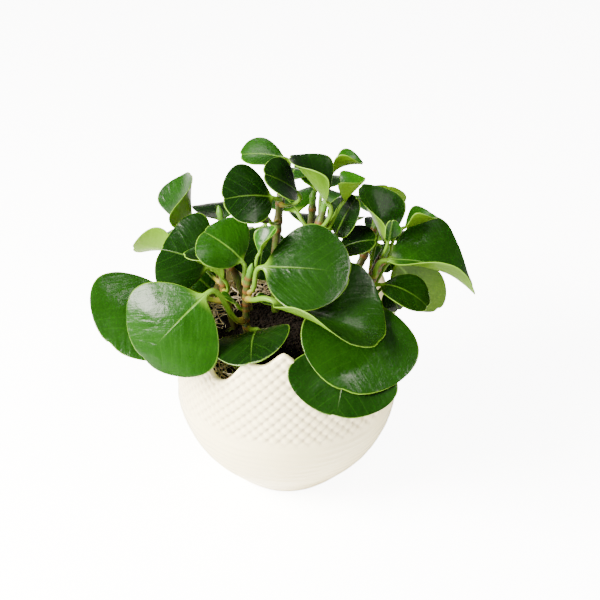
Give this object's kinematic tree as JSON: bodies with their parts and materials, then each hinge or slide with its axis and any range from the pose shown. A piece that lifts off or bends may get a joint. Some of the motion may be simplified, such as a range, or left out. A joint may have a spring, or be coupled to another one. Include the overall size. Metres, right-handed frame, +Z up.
{
  "type": "potted baby rubber plant",
  "caption": "Low bushy houseplant with round, fleshy, glossy green leaves in a cream glazed bowl pot with a scalloped rim and a raised net round it.",
  "frame": {"origin": "centre of the pot's flat underside, where it stands", "axes": "+Z up; -Y faces the pictured front; +X to the right of that view"},
  "size_m": [0.2555, 0.2101, 0.246],
  "materials": {
    "glaze": "glossy cream glaze",
    "soil": "matte, crumbly",
    "wood_wool": "matte, fibrous",
    "stem": "satin",
    "leaf": "glossy"
  },
  "bodies": {
    "root": {"pot": "glaze", "soil": "soil", "wood_wool": "wood_wool", "stem_1": "stem", "stem_2": "stem", "stem_3": "stem", "stem_4": "stem", "stem_5": "stem", "stem_6": "stem", "stem_7": "stem", "stem_8": "stem", "stem_9": "stem", "leaf_01": "leaf", "leaf_02": "leaf", "leaf_03": "leaf", "leaf_04": "leaf", "leaf_05": "leaf", "leaf_06": "leaf", "leaf_07": "leaf", "leaf_08": "leaf", "leaf_09": "leaf", "leaf_10": "leaf", "leaf_11": "leaf", "leaf_12": "leaf", "leaf_13": "leaf", "leaf_14": "leaf", "leaf_15": "leaf", "leaf_16": "leaf", "leaf_17": "leaf", "leaf_18": "leaf", "leaf_19": "leaf", "leaf_20": "leaf", "leaf_21": "leaf", "leaf_22": "leaf", "leaf_23": "leaf", "leaf_24": "leaf", "leaf_25": "leaf", "leaf_26": "leaf", "leaf_27": "leaf", "leaf_28": "leaf", "leaf_29": "leaf", "leaf_30": "leaf", "leaf_31": "leaf", "leaf_32": "leaf", "leaf_33": "leaf", "leaf_34": "leaf", "leaf_35": "leaf", "leaf_36": "leaf", "leaf_37": "leaf", "leaf_38": "leaf", "leaf_39": "leaf", "leaf_40": "leaf", "leaf_41": "leaf", "leaf_42": "leaf", "leaf_43": "leaf", "leaf_44": "leaf", "leaf_45": "leaf"}
  },
  "joints": []
}
